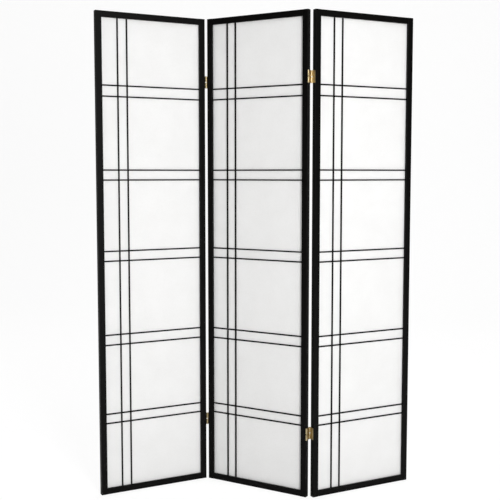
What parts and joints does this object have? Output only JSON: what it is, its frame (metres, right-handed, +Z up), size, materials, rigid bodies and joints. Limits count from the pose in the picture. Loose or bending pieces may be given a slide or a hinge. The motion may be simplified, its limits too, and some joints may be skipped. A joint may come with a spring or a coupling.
{
  "type": "folding shoji screen",
  "caption": "Free-standing folding shoji screen: black framed panels with slim lattice bars and white paper, joined by brass two-way screen hinges.",
  "frame": {"origin": "on the floor, at the centre of the box that the standing screen fills in its rest pose", "axes": "+Z up; +X to the right as seen from the front, across the screen; +Y from the front to the back"},
  "size_m": [1.1778, 0.2504, 1.784],
  "materials": {
    "black_lacquered_wood": "satin",
    "washi_paper": "matte",
    "hinge_brass": "satin"
  },
  "bodies": {
    "middle_panel": {"middle_panel_left_stile": "black_lacquered_wood", "middle_panel_right_stile": "black_lacquered_wood", "middle_panel_top_rail": "black_lacquered_wood", "middle_panel_bottom_rail": "black_lacquered_wood", "middle_panel_upright_1": "black_lacquered_wood", "middle_panel_upright_2": "black_lacquered_wood", "middle_panel_crossbars_1": "black_lacquered_wood", "middle_panel_crossbars_2": "black_lacquered_wood", "middle_panel_crossbars_3": "black_lacquered_wood", "middle_panel_crossbars_4": "black_lacquered_wood", "middle_panel_crossbars_5": "black_lacquered_wood", "middle_panel_paper": "washi_paper", "left_lower_hinge_right_leaf": "hinge_brass", "left_lower_hinge_back_pins": "hinge_brass", "left_upper_hinge_right_leaf": "hinge_brass", "left_upper_hinge_back_pins": "hinge_brass", "right_lower_hinge_left_leaf": "hinge_brass", "right_lower_hinge_front_pins": "hinge_brass", "right_upper_hinge_left_leaf": "hinge_brass", "right_upper_hinge_front_pins": "hinge_brass", "middle_panel_left_edge_screws": "hinge_brass", "middle_panel_right_edge_screws": "hinge_brass"},
    "left_link": {"left_lower_hinge_link_leaf": "hinge_brass", "left_upper_hinge_link_leaf": "hinge_brass"},
    "left_panel": {"left_panel_left_stile": "black_lacquered_wood", "left_panel_right_stile": "black_lacquered_wood", "left_panel_top_rail": "black_lacquered_wood", "left_panel_bottom_rail": "black_lacquered_wood", "left_panel_upright_1": "black_lacquered_wood", "left_panel_upright_2": "black_lacquered_wood", "left_panel_crossbars_1": "black_lacquered_wood", "left_panel_crossbars_2": "black_lacquered_wood", "left_panel_crossbars_3": "black_lacquered_wood", "left_panel_crossbars_4": "black_lacquered_wood", "left_panel_crossbars_5": "black_lacquered_wood", "left_panel_paper": "washi_paper", "left_lower_hinge_left_leaf": "hinge_brass", "left_lower_hinge_front_pins": "hinge_brass", "left_upper_hinge_left_leaf": "hinge_brass", "left_upper_hinge_front_pins": "hinge_brass", "left_panel_right_edge_screws": "hinge_brass"},
    "right_link": {"right_lower_hinge_link_leaf": "hinge_brass", "right_upper_hinge_link_leaf": "hinge_brass"},
    "right_panel": {"right_panel_left_stile": "black_lacquered_wood", "right_panel_right_stile": "black_lacquered_wood", "right_panel_top_rail": "black_lacquered_wood", "right_panel_bottom_rail": "black_lacquered_wood", "right_panel_upright_1": "black_lacquered_wood", "right_panel_upright_2": "black_lacquered_wood", "right_panel_crossbars_1": "black_lacquered_wood", "right_panel_crossbars_2": "black_lacquered_wood", "right_panel_crossbars_3": "black_lacquered_wood", "right_panel_crossbars_4": "black_lacquered_wood", "right_panel_crossbars_5": "black_lacquered_wood", "right_panel_paper": "washi_paper", "right_lower_hinge_right_leaf": "hinge_brass", "right_lower_hinge_back_pins": "hinge_brass", "right_upper_hinge_right_leaf": "hinge_brass", "right_upper_hinge_back_pins": "hinge_brass", "right_panel_left_edge_screws": "hinge_brass"}
  },
  "joints": [
    {"name": "left_reverse_fold", "type": "hinge", "parent": "middle_panel", "child": "left_link", "pos_m": [-0.18186, 0.12173, 0], "axis": [0, 0, -1], "range_deg": [0, 100]},
    {"name": "left_fold", "type": "hinge", "parent": "left_link", "child": "left_panel", "pos_m": [-0.19428, 0.10072, 0], "axis": [0, 0, 1], "range_deg": [-58, 122]},
    {"name": "right_reverse_fold", "type": "hinge", "parent": "middle_panel", "child": "right_link", "pos_m": [0.18186, -0.12173, 0], "axis": [0, 0, -1], "range_deg": [0, 100]},
    {"name": "right_fold", "type": "hinge", "parent": "right_link", "child": "right_panel", "pos_m": [0.19428, -0.10072, 0], "axis": [0, 0, 1], "range_deg": [-58, 122]}
  ]
}
